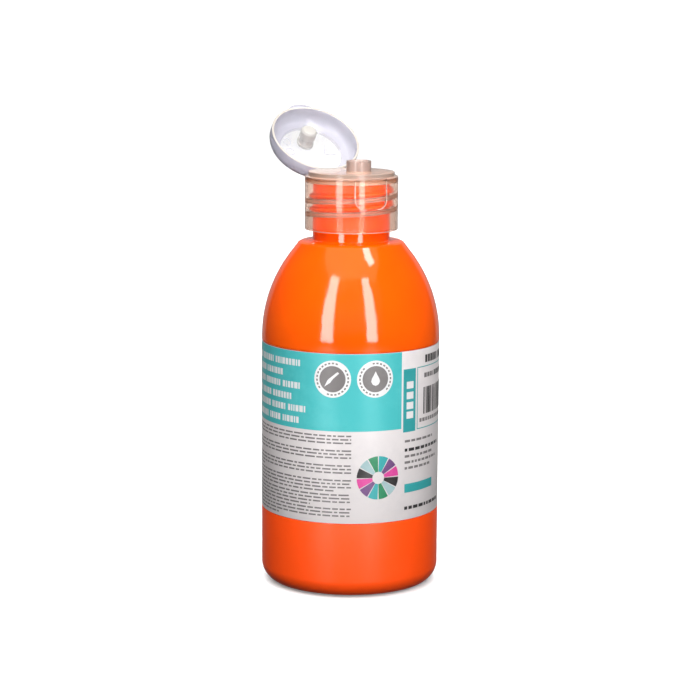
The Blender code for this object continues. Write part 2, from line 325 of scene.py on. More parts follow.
def settle(obj, body, nodes, material):
    """Gives a finished piece its material, body, CAD node and material slot."""
    obj.data.materials.clear()
    obj.data.materials.append(material)
    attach(obj, body)
    if nodes:
        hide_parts(*nodes)
    return obj


# ---------------------------------------------------------------- materials


def new_material(name, **sockets):
    """A material and its Principled shader, with plain values on the shader's own sockets."""
    made = bpy.data.materials.new(name)
    made.use_nodes = True
    shader = made.node_tree.nodes["Principled BSDF"]
    for socket, value in sockets.items():
        shader.inputs[socket.replace("_", " ")].default_value = value
    return made, shader


def node(tree, kind, values=(), links=()):
    made = tree.nodes.new(kind)
    for name, value in values:
        if isinstance(name, str) and not name[0].isupper():
            setattr(made, name, value)
        else:
            made.inputs[name].default_value = value
    for name, socket in links:
        tree.links.new(socket, made.inputs[name])
    return made


def coordinates(tree):
    return tree.nodes.new("ShaderNodeTexCoord").outputs["Object"]


def noise(tree, scale, detail=3.0, rough=0.5, vector=None):
    vector = vector or coordinates(tree)
    values = (("Scale", scale), ("Detail", detail), ("Roughness", rough))
    return node(tree, "ShaderNodeTexNoise", values, (("Vector", vector),)).outputs["Fac"]


def spread(tree, value, low, high, to_low, to_high):
    """Maps a value's range onto another, clamped."""
    values = (("From Min", low), ("From Max", high), ("To Min", to_low), ("To Max", to_high))
    return node(tree, "ShaderNodeMapRange", values, (("Value", value),)).outputs["Result"]


def mix_colours(tree, factor, first, second):
    """Two colours, each a plain colour or another node's output, mixed by a factor."""
    made = tree.nodes.new("ShaderNodeMix")
    made.data_type = "RGBA"
    tree.links.new(factor, made.inputs["Factor"])
    for socket, colour in ((made.inputs[6], first), (made.inputs[7], second)):
        if isinstance(colour, tuple):
            socket.default_value = (*colour, 1.0)
        else:
            tree.links.new(colour, socket)
    return made.outputs[2]


def height_of(tree):
    split = node(tree, "ShaderNodeSeparateXYZ", (), (("Vector", coordinates(tree)),))
    return split.outputs["Z"]


def maths(tree, first, second, kind="ADD"):
    """A maths node on two values, each a number or another node's output."""
    made = tree.nodes.new("ShaderNodeMath")
    made.operation = kind
    for socket, value in zip(made.inputs, (first, second)):
        if isinstance(value, (int, float)):
            socket.default_value = value
        else:
            tree.links.new(value, socket)
    return made.outputs[0]


def bump(tree, shader, height, strength, distance):
    """Bump on top of whatever normal the shader already has."""
    values = (("Strength", strength), ("Distance", distance))
    made = node(tree, "ShaderNodeBump", values, (("Height", height),))
    old = shader.inputs["Normal"]
    if old.is_linked:
        tree.links.new(old.links[0].from_socket, made.inputs["Normal"])
    tree.links.new(made.outputs["Normal"], old)


def bottle_plastic():
    """Blow-moulded orange plastic: glossy on neck and shoulder, satin below, with an orange-peel skin."""
    made, shader = new_material("orange_bottle_plastic", Specular_IOR_Level=0.5, IOR=1.5)
    tree = made.node_tree
    cloudy = spread(tree, noise(tree, 38, 4), 0.35, 0.65, 0, 1)
    orange = mix_colours(tree, cloudy, (1.0, 0.092, 0.0002), (1.0, 0.107, 0.0004))
    # Painted shade: the orange turns darker and redder towards the bottom of the bottle.
    painted_shade_low = spread(tree, height_of(tree), 0.083, 0.022, 0, 1)
    tree.links.new(mix_colours(tree, painted_shade_low, orange, (1.0, 0.074, 0.0002)), shader.inputs["Base Color"])
    satin = spread(tree, height_of(tree), 0.084, 0.079, 0.085, 0.42)
    satin = maths(tree, satin, spread(tree, height_of(tree), CAP_BOTTOM, CAP_BOTTOM + 1 * MM, 0, 0.28))
    smudges = spread(tree, noise(tree, 95, 5, 0.6), 0.4, 0.7, -0.015, 0.035)
    tree.links.new(maths(tree, satin, smudges), shader.inputs["Roughness"])
    bump(tree, shader, noise(tree, 420, 2), 0.16, 0.00012)
    bump(tree, shader, noise(tree, 90, 2), 0.10, 0.0006)
    bump(tree, shader, noise(tree, 2600, 3), 0.08, 0.00004)
    return made


def wet_paint():
    made, shader = new_material("wet_paint", Specular_IOR_Level=0.6, Coat_Weight=0.6, Coat_Roughness=0.04)
    tree = made.node_tree
    swirls = noise(tree, 160, 5, 0.55)
    colour = mix_colours(tree, swirls, (1.0, 0.085, 0.0004), (1.0, 0.125, 0.002))
    tree.links.new(colour, shader.inputs["Base Color"])
    tree.links.new(spread(tree, noise(tree, 400, 2), 0.3, 0.7, 0.10, 0.22), shader.inputs["Roughness"])
    bump(tree, shader, noise(tree, 240, 2), 0.25, 0.0004)
    return made


def film(name, colour, other, roughness=0.34):
    """Printed film: a satin skin with faint mottling in its ink and a fine grain."""
    made, shader = new_material(name, Specular_IOR_Level=0.5)
    tree = made.node_tree
    mottle = spread(tree, noise(tree, 300, 5, 0.65), 0.35, 0.65, 0, 1)
    broad = spread(tree, noise(tree, 45, 2), 0.35, 0.65, 0, 1)
    patches = maths(tree, mottle, broad, "MULTIPLY")
    tree.links.new(mix_colours(tree, patches, colour, other), shader.inputs["Base Color"])
    satin = spread(tree, noise(tree, 700, 3), 0.3, 0.7, roughness - 0.04, roughness + 0.06)
    tree.links.new(satin, shader.inputs["Roughness"])
    bump(tree, shader, noise(tree, 60, 2), 0.12, 0.0005)
    bump(tree, shader, noise(tree, 3000, 2), 0.10, 0.00003)
    return made


def polypropylene(name, colour, other, thickness, roughness, tint, density):
    """Translucent natural polypropylene: clear where thin, milky where thick, with faint flow marks.

    thickness(tree) gives how milky the plastic is at a point, from 0 to 1, and its colour there, which on the
    closure and lid carries painted light and shade.
    """
    made, shader = new_material(name, IOR=1.35, Specular_IOR_Level=0.3)
    tree = made.node_tree
    depth = node(tree, "ShaderNodeVolumeAbsorption", (("Color", (*tint, 1.0)), ("Density", density)))
    tree.links.new(depth.outputs["Volume"], tree.nodes["Material Output"].inputs["Volume"])
    stretched = node(
        tree, "ShaderNodeMapping", ((3, (1.0, 1.0, 0.35)),), (("Vector", coordinates(tree)),)
    ).outputs["Vector"]
    flow = spread(tree, noise(tree, 120, 4, 0.55, stretched), 0.3, 0.7, 0, 1)
    thick, milky = thickness(tree)
    clear = mix_colours(tree, flow, colour, other)
    colour = mix_colours(tree, spread(tree, thick, 0.05, 0.2, 0, 1), clear, milky)
    tree.links.new(colour, shader.inputs["Base Color"])
    cloud = maths(tree, thick, spread(tree, flow, 0, 1, -0.02, 0.015))
    tree.links.new(spread(tree, cloud, 0, 1, 1, 0), shader.inputs["Transmission Weight"])
    gloss = spread(tree, noise(tree, 520, 3), 0.3, 0.7, roughness - 0.02, roughness + 0.04)
    tree.links.new(gloss, shader.inputs["Roughness"])
    bump(tree, shader, noise(tree, 260, 2, 0.5, stretched), 0.06, 0.0002)
    bump(tree, shader, noise(tree, 2400, 2), 0.05, 0.00003)
    return made


def vector_maths(tree, kind, vector, other=None):
    """A vector maths node on another node's output and, where it takes one, a fixed vector."""
    made = tree.nodes.new("ShaderNodeVectorMath")
    made.operation = kind
    tree.links.new(vector, made.inputs[0])
    if other is not None:
        made.inputs[1].default_value = other
    return made.outputs


def off_axis(tree, place):
    """Distances in a place's own frame: from its axis, and along it."""
    origin, axis = place.to_translation(), place.to_quaternion() @ Vector((0, 0, 1))
    offset = vector_maths(tree, "SUBTRACT", coordinates(tree), origin)["Vector"]
    along = vector_maths(tree, "DOT_PRODUCT", offset, axis)["Value"]
    sideways = vector_maths(tree, "CROSS_PRODUCT", offset, axis)["Vector"]
    return vector_maths(tree, "LENGTH", sideways)["Value"], along


def closure_thickness(tree):
    """The deck, spout and thread ridges stand inside the thin outer wall, and a fine bead stands on it."""
    radius, height = off_axis(tree, Matrix.Identity(4))
    inner = spread(tree, radius, CAP_BORE - 0.04 * MM, CAP_BORE - 0.01 * MM, 0.42, 0.01)
    above = spread(tree, height, DECK_TOP + 0.3 * MM, DECK_TOP + 0.9 * MM, 1, 0.55)
    # Painted highlights: the ledge, the foot of the skirt and the bead are made milky, so they show as pale
    # bright lines.
    ledge = spread(tree, height, CAP_LEDGE - 0.5 * MM, CAP_LEDGE - 0.2 * MM, 0, 0.4)
    foot = spread(tree, height, CAP_BOTTOM + 0.15 * MM, CAP_BOTTOM + 0.35 * MM, 0.5, 0)
    bead = spread(tree, radius, CAP_RADIUS + 0.01 * MM, CAP_RADIUS + 0.04 * MM, 0, 0.8)
    thick = maths(tree, inner, above, "MULTIPLY")
    for part in (ledge, foot, bead):
        thick = maths(tree, thick, part, "MAXIMUM")
    # Painted light: the milky deck is tinted orange, as if lit by the orange paint under it.
    glow_patches = spread(tree, noise(tree, 110, 3), 0.35, 0.65, 0, 1)
    deck = mix_colours(tree, glow_patches, (0.93, 0.71, 0.60), (0.90, 0.63, 0.49))
    # Painted light: the thread ridges below the deck are coloured paler, to look lit inside the closure.
    below = spread(tree, height, DECK_UNDER - 2.4 * MM, DECK_UNDER - 1.6 * MM, 1, 0)
    colour = mix_colours(tree, below, deck, (0.99, 0.86, 0.80))
    spout = spread(tree, height, DECK_TOP + 0.3 * MM, DECK_TOP + 0.9 * MM, 0, 1)
    return thick, mix_colours(tree, spout, colour, (0.70, 0.57, 0.52))


def lid_thickness(tree):
    """The lid's wall, rim and plug are thicker than its flat top."""
    radius, height = off_axis(tree, LID_PLACE)
    wall = spread(tree, radius, 10.6 * MM, 10.85 * MM, 0.03, 0.42)
    rim = spread(tree, height, 0.05 * MM, 0.20 * MM, 1, 0)
    plug_radius, _ = off_axis(tree, LID_PLACE @ Matrix.Translation((0, -SPOUT_OFFSET, 0)))
    plug = spread(tree, plug_radius, 2.85 * MM, 2.95 * MM, 1, 0)
    drop = maths(tree, maths(tree, radius, 2, "POWER"), -1.5 * MM / (10.7 * MM) ** 2, "MULTIPLY")
    proud = maths(tree, maths(tree, height, drop, "SUBTRACT"), -lid_floor(0), "ADD")
    marks = spread(tree, proud, -0.07 * MM, -0.03 * MM, 0.75, 0)
    inside_wall = spread(tree, radius, 10.3 * MM, 10.5 * MM, 1, 0)
    wall = maths(tree, wall, maths(tree, marks, inside_wall, "MULTIPLY"), "MAXIMUM")
    thick = maths(tree, wall, maths(tree, maths(tree, rim, plug, "MAXIMUM"), 0.55, "MULTIPLY"), "MAXIMUM")
    # Painted shade and painted highlight: the milky wall is coloured a darker lavender grey, and the rim a
    # light cream.
    colour = mix_colours(tree, rim, (0.60, 0.59, 0.66), (0.84, 0.77, 0.68))
    return thick, mix_colours(tree, plug, colour, (0.60, 0.58, 0.55))


def web_thickness(tree):
    return spread(tree, noise(tree, 500, 2), 0.3, 0.7, 0.15, 0.25), (0.85, 0.80, 0.78)


def foam():
    made, shader = new_material("washer_foam", Specular_IOR_Level=0.3)
    tree = made.node_tree
    voronoi = node(tree, "ShaderNodeTexVoronoi", (("Scale", 2600.0),), (("Vector", coordinates(tree)),))
    cells = voronoi.outputs["Distance"]
    colour = mix_colours(tree, cells, (0.86, 0.85, 0.82), (0.74, 0.73, 0.70))
    tree.links.new(colour, shader.inputs["Base Color"])
    tree.links.new(spread(tree, noise(tree, 900, 2), 0.3, 0.7, 0.62, 0.8), shader.inputs["Roughness"])
    bump(tree, shader, cells, 0.35, 0.0001)
    return made


def stage_material(name, colour, other, glow):
    """A matt pale surface that also glows, so that it stays white behind the object."""
    white = (1.0, 1.0, 1.0, 1.0)
    made, shader = new_material(name, Specular_IOR_Level=0.0, Emission_Color=white, Emission_Strength=glow)
    tree = made.node_tree
    tree.links.new(mix_colours(tree, noise(tree, 6, 3), colour, other), shader.inputs["Base Color"])
    tree.links.new(spread(tree, noise(tree, 30, 2), 0, 1, 0.8, 0.95), shader.inputs["Roughness"])
    return made


# ---------------------------------------------------------------- bottle, paint, washer


def shoulder(inset, start, end, count):
    centre = (BODY_RADIUS - SHOULDER_ARC, SHOULDER_Z)
    return arc(centre, SHOULDER_ARC - inset, start, end, count)


def inside(gap, top):
    """Profile of the bottle's inside from the middle of its floor up, moved in by a gap."""
    radius = BODY_RADIUS - WALL - gap
    corner, floor_z = 4 * MM - gap, 1.9 * MM + gap
    points = [(0, floor_z, 0), *arc((radius - corner, floor_z + corner), corner, -90, 0, 10)]
    points += shoulder(WALL + gap, 0, SHOULDER_SLOPE, 24)
    return [point for point in points if point[1] < top]


def make_bottle():
    panel = BODY_RADIUS - PANEL_DEPTH
    low, high = LABEL_LOW.z - FIT_GAP, LABEL_HIGH.z + FIT_GAP
    slope = math.radians(SHOULDER_SLOPE)
    inner_slope = (LEDGE[0] - WALL * math.cos(slope), LEDGE[1] - WALL * math.sin(slope), 0)
    corners = [
        *inside(0, NECK_TOP),
        inner_slope,
        (NECK_BORE + 0.9 * MM, LEDGE[1] - 0.4 * MM, 0.3 * MM),
        (NECK_BORE, LEDGE[1] + 0.5 * MM, 0.3 * MM),
        (NECK_BORE, NECK_TOP, 0.35 * MM),
        (NECK_RADIUS, NECK_TOP, 0.35 * MM),
        (NECK_RADIUS, NECK_FOOT, 0.6 * MM),
        (LEDGE[0] - 1.1 * MM, LEDGE[1] + 0.7 * MM, 0.5 * MM),
        (LEDGE[0] - 0.15 * MM, LEDGE[1] + 0.25 * MM, 0.35 * MM),
        *shoulder(0, SHOULDER_SLOPE, 0, 40),
        (BODY_RADIUS, high, 0.12 * MM),
        (panel, high, 0.12 * MM),
        (panel, low, 0.12 * MM),
        (BODY_RADIUS, low, 0.12 * MM),
        *arc((BODY_RADIUS - HEEL, HEEL), HEEL, 0, -58, 12),
        (20.2 * MM, 0.02 * MM, 0.6 * MM),
        (19.6 * MM, 0, 0.3 * MM),
        (18.6 * MM, 0.8 * MM, 0.3 * MM),
        (13.8 * MM, 0.8 * MM, 0.3 * MM),
        (13.1 * MM, 0, 0.3 * MM),
        (0, 0, 0),
    ]
    shell = turned(rounded(corners), seam=0.04 * MM, seam_span=(7 * MM, NECK_TOP - 1 * MM))
    made = piece("bottle_shell", shell)
    ridge = thread(NECK_RADIUS - 0.4 * MM, THREAD_CREST, (1.15 * MM, 0.5 * MM), THREAD_TOP, THREAD_TURNS)
    combine(made, piece("ridge", ridge), "UNION")
    soften(made)
    return settle(made, "bottle", ["bottle"], bottle_plastic())


def make_paint():
    """The contents, with a small meniscus where they meet the wall."""
    top = PAINT_HIGH.z
    wall = inside(FIT_GAP, top - 0.6 * MM)
    drop = (top - SHOULDER_Z) / (SHOULDER_ARC - WALL - FIT_GAP)
    edge = shoulder(WALL + FIT_GAP, 0, math.degrees(math.asin(drop)), 1)[1]
    shares = (0.96, 0.9, 0.8, 0.6, 0.3, 0)
    surface = [(edge[0] * share, top - 0.5 * MM * (1 - share**8), 0) for share in shares]
    made = piece("paint_contents", turned([Vector(p[:2]) for p in [*wall, edge, *surface]]))
    return settle(made, "bottle", ["paint"], wet_paint())


def make_washer():
    inner, outer = 9.5 * MM, WASHER_HIGH.x
    low, high = WASHER_LOW.z, WASHER_HIGH.z
    edge = 0.2 * MM
    corners = [(inner, high, edge), (outer, high, edge), (outer, low, edge), (inner, low, edge)]
    made = piece("sealing_ring", turned(rounded(corners), 96))
    return settle(made, "washer", ["sealing_washer"], foam())


# ---------------------------------------------------------------- closure, lid, hinge web


def make_closure():
    edge = 0.3 * MM
    corners = [
        (0, DECK_TOP, 0),
        (DECK_RADIUS, DECK_TOP, 0.35 * MM),
        (DECK_RADIUS, CAP_LEDGE, 0.12 * MM),
        (CAP_RADIUS, CAP_LEDGE, edge),
        (CAP_RADIUS, CAP_BOTTOM, edge),
        (CAP_BORE, CAP_BOTTOM, 0.25 * MM),
        (CAP_BORE, DECK_UNDER - 1.6 * MM, 0.4 * MM),
        (CAP_BORE - 1.2 * MM, DECK_UNDER, 0.4 * MM),
        (0, DECK_UNDER, 0),
    ]
    made = piece("closure_shell", turned(rounded(corners)))
    half_widths, thread_top = (0.95 * MM, 0.42 * MM), THREAD_TOP - CAP_THREAD_DROP
    ridge = thread(CAP_BORE + 0.4 * MM, CAP_THREAD_CREST, half_widths, thread_top, THREAD_TURNS)
    combine(made, piece("ridge", ridge), "UNION")
    centre = Matrix.Translation((0, -SPOUT_OFFSET, 0))
    spout = [
        (0, SPOUT_TOP, 0),
        (SPOUT_RADIUS, SPOUT_TOP, 0.2 * MM),
        (SPOUT_RADIUS, DECK_TOP + 0.4 * MM, 0.4 * MM),
        (SPOUT_RADIUS + 0.5 * MM, DECK_TOP - 0.1 * MM, 0),
        (SPOUT_RADIUS + 0.5 * MM, DECK_TOP - 0.5 * MM, 0),
        (0, DECK_TOP - 0.5 * MM, 0),
    ]
    combine(made, piece("spout", turned(rounded(spout), 72, centre)), "UNION")
    bore = [
        (0, SPOUT_TOP + 1 * MM),
        (SPOUT_BORE + 0.25 * MM, SPOUT_TOP + 1 * MM),
        (SPOUT_BORE + 0.15 * MM, SPOUT_TOP),
        (SPOUT_BORE, SPOUT_TOP - 0.25 * MM),
        (SPOUT_BORE, DECK_UNDER - 1 * MM),
        (0, DECK_UNDER - 1 * MM),
    ]
    combine(made, piece("bore", turned([Vector(p) for p in bore], 72, centre)), "DIFFERENCE")
    combine(made, recess(), "DIFFERENCE")
    combine(made, recess_bead(), "UNION")
    low = (-WEB_NOTCH, HINGE.y - WEB_ROOM, HINGE.z - WEB_ROOM)
    notch = block(low, (WEB_NOTCH, HINGE.y + 1 * MM, HINGE.z + 1 * MM))
    combine(made, piece("notch", notch), "DIFFERENCE")
    soften(made)
    plastic = polypropylene(
        "closure_polypropylene",
        (0.98, 0.93, 0.90),
        (0.95, 0.89, 0.85),
        closure_thickness,
        0.09,
        (0.62, 0.43, 0.32),
        470.0,
    )
    return settle(made, "closure", ["closure_body"], plastic)


def recess_line():
    """The U under the lid's lip, as widths and heights from its left end round to its right."""
    flat, middle = RECESS_HALF_WIDTH - RECESS_CORNER, RECESS_BOTTOM + RECESS_CORNER
    line = [(-RECESS_HALF_WIDTH, CAP_LEDGE - (CAP_LEDGE - middle) * i / 8) for i in range(8)]
    for side, start in ((-1, 180), (1, 270)):
        for i in range(11):
            a = math.radians(start + 9 * i)
            line.append((side * flat + RECESS_CORNER * math.cos(a), middle + RECESS_CORNER * math.sin(a)))
    return [*line, *((RECESS_HALF_WIDTH, middle + (CAP_LEDGE - middle) * i / 8) for i in range(1, 9))]


def recess():
    """Cutter for that shallow U, which keeps the wall's curve."""
    top, front = CAP_LEDGE + 1 * MM, -(CAP_RADIUS + 1 * MM)
    line = [(-RECESS_HALF_WIDTH, top), *recess_line(), (RECESS_HALF_WIDTH, top)]
    made = piece("recess", prism([(x, front, z) for x, z in line], (0, 6 * MM, 0)))
    core = CAP_RADIUS - RECESS_DEPTH
    points = [(0, top + 1 * MM), (core, top + 1 * MM), (core, 120 * MM), (0, 120 * MM)]
    combine(made, piece("core", turned([Vector(p) for p in points])), "DIFFERENCE")
    return made


def recess_bead():
    """The fine bead along the U's edge."""
    reach, top = CAP_RADIUS - 0.03 * MM, CAP_LEDGE - 0.3 * MM
    line = [Vector((x, -math.sqrt(reach**2 - x**2), min(z, top))) for x, z in recess_line()[1:-1]]
    shape = bmesh.new()
    tube(shape, line, 0.14 * MM, closed=False, outward=lambda p: Vector((p.x, p.y, 0)).normalized())
    return piece("bead", shape)


def lid_floor(radius):
    """Height of the lid's floor above its rim."""
    return 7.2 * MM - 1.5 * MM * (radius / (10.7 * MM)) ** 2


def make_lid():
    corner = arc((CAP_RADIUS - 4.1 * MM, 2.7 * MM), 4.1 * MM, 67, 0, 18)
    inner_corner = arc((11.25 * MM, 2.3 * MM), 3.2 * MM, 0, 62, 12)
    top_edge, top_z = corner[0], 8.4 * MM
    crown = [(top_edge[0] * i / 8, top_z - (top_z - top_edge[1]) * (i / 8) ** 2, 0) for i in range(8)]
    floor = [(10.7 * MM * i / 8, lid_floor(10.7 * MM * i / 8), 0) for i in range(8, -1, -1)]
    rim = [(CAP_RADIUS, 0, 0.22 * MM), (14.45 * MM, 0, 0.22 * MM)]
    corners = [*crown, *corner, *rim, *inner_corner, *floor]
    made = piece("lid_shell", turned(rounded(corners), place=LID_PLACE))

    outline = []
    reach = LIP_REACH - CAP_RADIUS + 0.7 * MM
    for i in range(33):
        angle = math.pi + math.pi * i / 32
        y = -(CAP_RADIUS - 0.7 * MM) + reach * math.sin(angle)
        outline.append((LIP_HALF_WIDTH * math.cos(angle), y, LIP_BASE))
    lip = piece("lip", prism(outline, (0, 0, LIP_HEIGHT), LID_PLACE))
    bevel(lip, 0.25 * MM)
    combine(made, lip, "UNION")

    plug = [
        (0, 7.6 * MM, 0),
        (2.75 * MM, 7.6 * MM, 0),
        (2.75 * MM, 6.9 * MM, 0),
        (2.5 * MM, 6.5 * MM, 0.3 * MM),
        (2.45 * MM, 5.0 * MM, 0.3 * MM),
        (2.8 * MM, 4.6 * MM, 0.25 * MM),
        (2.75 * MM, 1.9 * MM, 0.3 * MM),
        (2.2 * MM, 1.3 * MM, 0.4 * MM),
        (0, 1.3 * MM, 0),
    ]
    plug_place = LID_PLACE @ Matrix.Translation((0, -SPOUT_OFFSET, 0))
    combine(made, piece("plug", turned(rounded(plug), 72, plug_place)), "UNION")

    marks = bmesh.new()
    for x, y in ((-7.2 * MM, -4.9 * MM), (-7.4 * MM, -0.4 * MM)):
        circle = [(x + 1.5 * MM * math.cos(a), y + 1.5 * MM * math.sin(a)) for a in turns_of(28)]
        tube(marks, [(*point, lid_floor(math.hypot(*point))) for point in circle], MARK_SIZE)
    triangle = [Vector((4.8 * MM, 1.0 * MM)), Vector((6.7 * MM, -3.0 * MM)), Vector((9.3 * MM, 2.2 * MM))]
    line = []
    for a, b in zip(triangle, [*triangle[1:], triangle[0]]):
        line += [a.lerp(b, i / 7) for i in range(1, 7)]
    tube(marks, [(*point, lid_floor(point.length)) for point in line], MARK_SIZE)
    bmesh.ops.transform(marks, matrix=LID_PLACE, verts=marks.verts)
    combine(made, piece("marks", marks), "UNION")

    place = LID_PLACE @ Matrix.Translation((0, HINGE.y, 0))
    notch = block((-WEB_NOTCH, -WEB_ROOM, -1 * MM), (WEB_NOTCH, 1 * MM, WEB_ROOM), place)
    combine(made, piece("notch", notch), "DIFFERENCE")
    soften(made)
    plastic = polypropylene(
        "lid_polypropylene",
        (0.89, 0.885, 0.90),
        (0.86, 0.855, 0.875),
        lid_thickness,
        0.085,
        (0.70, 0.70, 0.75),
        140.0,
    )
    return settle(made, "lid", ["lid"], plastic)


def turns_of(count):
    return [2 * math.pi * i / count for i in range(count)]


def make_web():
    """The thin film between closure and lid, in one piece with both; it is built with a bend on the hinge
    line, with the lid open.
    """
    turn = Matrix.Rotation(-LID_OPEN, 4, "X")
    closure_end = Vector((0, -0.45 * MM, -0.85 * MM))
    closure_mid = Vector((0, -0.12 * MM, -0.35 * MM))
    lid_mid = turn @ Vector((0, -0.12 * MM, 0.35 * MM))
    lid_end = turn @ Vector((0, -0.5 * MM, 0.95 * MM))
    middle = Vector((0, 0.1 * MM, 0.05 * MM))
    keys = [closure_end, closure_mid, middle, lid_mid, lid_end]
    path = []
    for i in range(len(keys) - 1):
        for k in range(4):
            path.append(keys[i].lerp(keys[i + 1], k / 4))
    path.append(keys[-1])
    for _ in range(3):
        path = [path[0], *[(a + 2 * b + c) / 4 for a, b, c in zip(path, path[1:], path[2:])], path[-1]]
    shape = bmesh.new()
    rings = []
    columns = 13
    for i, point in enumerate(path):
        ahead = path[min(i + 1, len(path) - 1)] - path[max(i - 1, 0)]
        side = Vector((1, 0, 0)).cross(ahead).normalized()
        ends = abs(i / (len(path) - 1) - 0.5) * 2
        half = (0.13 + 0.10 * ends**2) * MM
        ring = []
        for face in (1, -1):
            for k in range(columns):
                x = WEB_HALF_LENGTH * (-1 + 2 * k / (columns - 1)) * face
                ring.append(shape.verts.new(HINGE + Vector((x, 0, 0)) + point + side * half * face))
        rings.append(ring)
    for ring, following in zip(rings, rings[1:]):
        for k in range(len(ring)):
            n = (k + 1) % len(ring)
            shape.faces.new((ring[k], ring[n], following[n], following[k]))
    shape.faces.new(rings[0])
    shape.faces.new(rings[-1][::-1])
    made = piece("hinge_web", shape)
    plastic = polypropylene(
        "hinge_polypropylene",
        (0.93, 0.91, 0.91),
        (0.89, 0.87, 0.88),
        web_thickness,
        0.18,
        (0.55, 0.48, 0.46),
        170.0,
    )
    made.data.materials.append(plastic)
    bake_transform(made)
    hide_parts("living_hinge")
    return made


# ---------------------------------------------------------------- label and its artwork


def on_label(degrees, z, layer):
    angle = math.radians(ART_MIDDLE + degrees)
    radius = BODY_RADIUS + INK * layer
    return (radius * math.cos(angle), radius * math.sin(angle), z)


def across(length):
    """Degrees round the label that a length along it takes."""
    return math.degrees(length / BODY_RADIUS)


def bar(shape, left, right, low, high, layer):
    """A rectangle of ink, in strips narrow enough to follow the label's curve."""
    count = max(1, math.ceil((right - left) / 2.5))
    lower, upper = [], []
    for i in range(count + 1):
        degrees = left + (right - left) * i / count
        lower.append(shape.verts.new(on_label(degrees, low, layer)))
        upper.append(shape.verts.new(on_label(degrees, high, layer)))
    for i in range(count):
        shape.faces.new((lower[i], lower[i + 1], upper[i + 1], upper[i]))


def frame_bar(shape, left, right, low, high, width, layer):
    side = across(width)
    bar(shape, left, right, high - width, high, layer)
    bar(shape, left, right, low, low + width, layer)
    bar(shape, left, left + side, low + width, high - width, layer)
    bar(shape, right - side, right, low + width, high - width, layer)


def ring(shape, degrees, z, inner, outer, layer, start=0.0, end=360.0):
    """A ring, disc or arc of ink about a point on the label. Angles count from the right, upward."""
    steps = max(2, math.ceil((end - start) / 7.5))
    rows = max(1, math.ceil((outer - inner) / (1.2 * MM)))
    grid = []
    for j in range(rows + 1):
        radius = inner + (outer - inner) * j / rows
        line = []
        for i in range(steps + 1):
            a = math.radians(start + (end - start) * i / steps)
            at = on_label(degrees + across(radius * math.cos(a)), z + radius * math.sin(a), layer)
            line.append(shape.verts.new(at))
        grid.append(line)
    for j in range(rows):
        for i in range(steps):
            shape.faces.new((grid[j][i], grid[j + 1][i], grid[j + 1][i + 1], grid[j][i + 1]))


def blob(shape, degrees, z, outline, layer, columns=10):
    """A small filled outline, its points in metres across and up from a point on the label.

    It is laid in upright slices, so that it follows the label's curve.
    """
    low, high = min(x for x, _ in outline), max(x for x, _ in outline)
    slices = []
    for i in range(columns + 1):
        x = low + (high - low) * (0.001 + 0.998 * i / columns)
        heights = []
        for (x0, y0), (x1, y1) in zip(outline, [*outline[1:], outline[0]]):
            if (x0 <= x) != (x1 <= x):
                heights.append(y0 + (y1 - y0) * (x - x0) / (x1 - x0))
        ends = (min(heights), max(heights))
        slices.append([shape.verts.new(on_label(degrees + across(x), z + y, layer)) for y in ends])
    for one, two in zip(slices, slices[1:]):
        shape.faces.new((one[0], two[0], two[1], one[1]))


def words(shape, left, right, z, height, layer, chance, longest=3.6, gap=0.55):
    """A line of plain bars where the label has a line of small print."""
    at = left
    while at < right - 0.6:
        length = across(chance.uniform(0.9, longest) * MM)
        end = min(at + length, right)
        bar(shape, at, end, z - height / 2, z + height / 2, layer)
        at = end + across(gap * MM)


def blocks(shape, left, right, z, height, layer, chance):
    """A line of plain upright blocks where the label has a line of bold print."""
    at = left
    in_word = 0
    while at < right - 0.8:
        width = chance.choice((0.55, 0.95, 1.15, 1.3)) * MM
        bar(shape, at, min(at + across(width), right), z - height / 2, z + height / 2, layer)
        in_word += 1
        at += across(width + 0.38 * MM)
        if in_word > 4 and chance.random() < 0.3:
            at += across(0.9 * MM)
            in_word = 0


INKS = {
    "teal": ((0.062, 0.475, 0.490), (0.085, 0.520, 0.530)),
    "deep_teal": ((0.035, 0.330, 0.345), (0.045, 0.365, 0.375)),
    "white": ((0.80, 0.79, 0.79), (0.74, 0.73, 0.74)),
    "grey": ((0.175, 0.160, 0.160), (0.210, 0.195, 0.195)),
    "black": ((0.022, 0.020, 0.021), (0.040, 0.038, 0.038)),
    "pink": ((0.62, 0.055, 0.28), (0.66, 0.09, 0.33)),
    "plum": ((0.13, 0.055, 0.17), (0.17, 0.08, 0.21)),
    "green": ((0.02, 0.20, 0.09), (0.035, 0.25, 0.12)),
    "mist": ((0.30, 0.44, 0.46), (0.36, 0.50, 0.52)),
}


